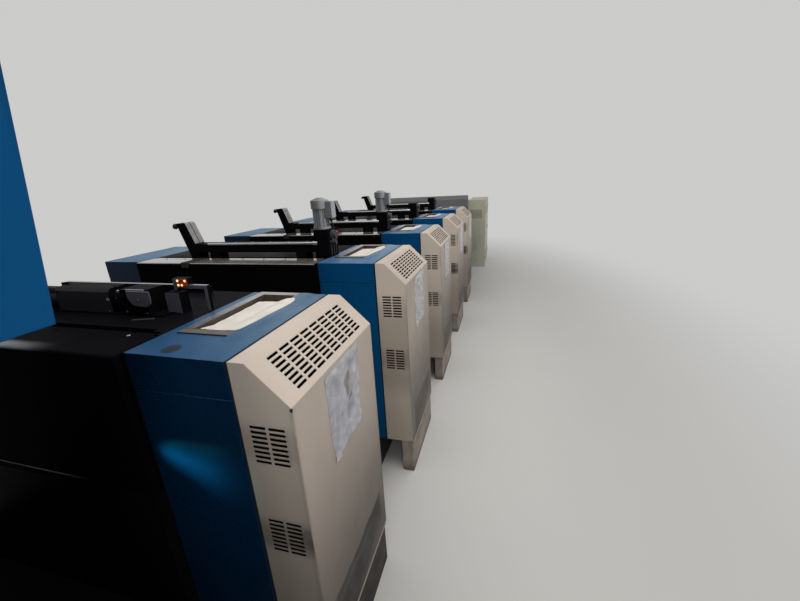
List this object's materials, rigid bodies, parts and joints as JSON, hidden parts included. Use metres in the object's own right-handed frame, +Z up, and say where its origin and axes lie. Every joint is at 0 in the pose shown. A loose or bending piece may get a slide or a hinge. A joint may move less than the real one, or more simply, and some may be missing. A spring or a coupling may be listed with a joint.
{
  "type": "sheet-fed offset printing press",
  "caption": "Sheet-fed offset press: a row of printing units with vented drive cabinets and hinged guards, between a delivery and a feeder.",
  "frame": {"origin": "centre of the press's outline at floor level", "axes": "+X to the drive side, +Y along the press from the delivery to the feeder, +Z up"},
  "size_m": [2.295, 11.22, 2.06],
  "materials": {
    "blue_paint": "satin blue enamel, dusty and scuffed",
    "cream_paint": "satin cream enamel, grimy",
    "pale_paint": "satin pale green-cream enamel",
    "black_paint": "semi-gloss black enamel",
    "black_guard": "glossy black enamel",
    "motor_grey": "matt grey paint on cast metal",
    "bright_steel": "ground steel",
    "dark_base": "dark grey machine paint",
    "tread_plate": "worn tread plate",
    "zinc_steel": "zinc-plated screws and bezels",
    "black_rubber": "black rubber and plastic parts",
    "plastic_film": "cloudy document sleeves",
    "white_paper": "white paper liners",
    "amber_lens": "amber lamp lenses"
  },
  "bodies": {
    "root": {"drive_housing_1": "blue_paint", "drive_housing_2": "blue_paint", "drive_housing_3": "blue_paint", "drive_housing_4": "blue_paint", "drive_housing_5": "blue_paint", "side_cabinet_1": "cream_paint", "side_cabinet_2": "cream_paint", "side_cabinet_3": "cream_paint", "side_cabinet_4": "cream_paint", "side_cabinet_5": "cream_paint", "operator_housing_1": "blue_paint", "operator_housing_2": "blue_paint", "operator_housing_3": "blue_paint", "operator_housing_4": "blue_paint", "operator_housing_5": "blue_paint", "unit_body_1": "black_paint", "unit_body_2": "black_paint", "unit_body_3": "black_paint", "unit_body_4": "black_paint", "unit_body_5": "black_paint", "agitator_rail_1": "black_paint", "agitator_rail_2": "black_paint", "agitator_rail_3": "black_paint", "agitator_rail_4": "black_paint", "agitator_rail_5": "black_paint", "agitator_motors": "motor_grey", "plate_cylinders": "bright_steel", "press_bed": "dark_base", "footboards": "tread_plate", "cabinet_plinths": "cream_paint", "delivery_frame": "blue_paint", "delivery_hood": "blue_paint", "delivery_duct": "black_paint", "feeder_frame": "blue_paint", "feed_board": "bright_steel", "feeder_head": "motor_grey", "feeder_cabinet": "pale_paint", "pile_boards": "dark_base"},
    "guard_1": {"front_guard_1": "black_guard"},
    "guard_2": {"front_guard_2": "black_guard"},
    "guard_3": {"front_guard_3": "black_guard"},
    "guard_4": {"front_guard_4": "black_guard"},
    "guard_5": {"front_guard_5": "black_guard"}
  },
  "joints": [
    {"name": "guard_1_hinge", "type": "hinge", "parent": "root", "child": "guard_1", "pos_m": [-0.1645, -2.65, 1.393], "axis": [-1, 0, 0], "range_deg": [0, 75]},
    {"name": "guard_2_hinge", "type": "hinge", "parent": "root", "child": "guard_2", "pos_m": [-0.1645, -1.45, 1.393], "axis": [-1, 0, 0], "range_deg": [0, 75]},
    {"name": "guard_3_hinge", "type": "hinge", "parent": "root", "child": "guard_3", "pos_m": [-0.1645, -0.25, 1.393], "axis": [-1, 0, 0], "range_deg": [0, 75]},
    {"name": "guard_4_hinge", "type": "hinge", "parent": "root", "child": "guard_4", "pos_m": [-0.1645, 0.95, 1.393], "axis": [-1, 0, 0], "range_deg": [0, 75]},
    {"name": "guard_5_hinge", "type": "hinge", "parent": "root", "child": "guard_5", "pos_m": [-0.1645, 2.15, 1.393], "axis": [-1, 0, 0], "range_deg": [0, 75]}
  ]
}
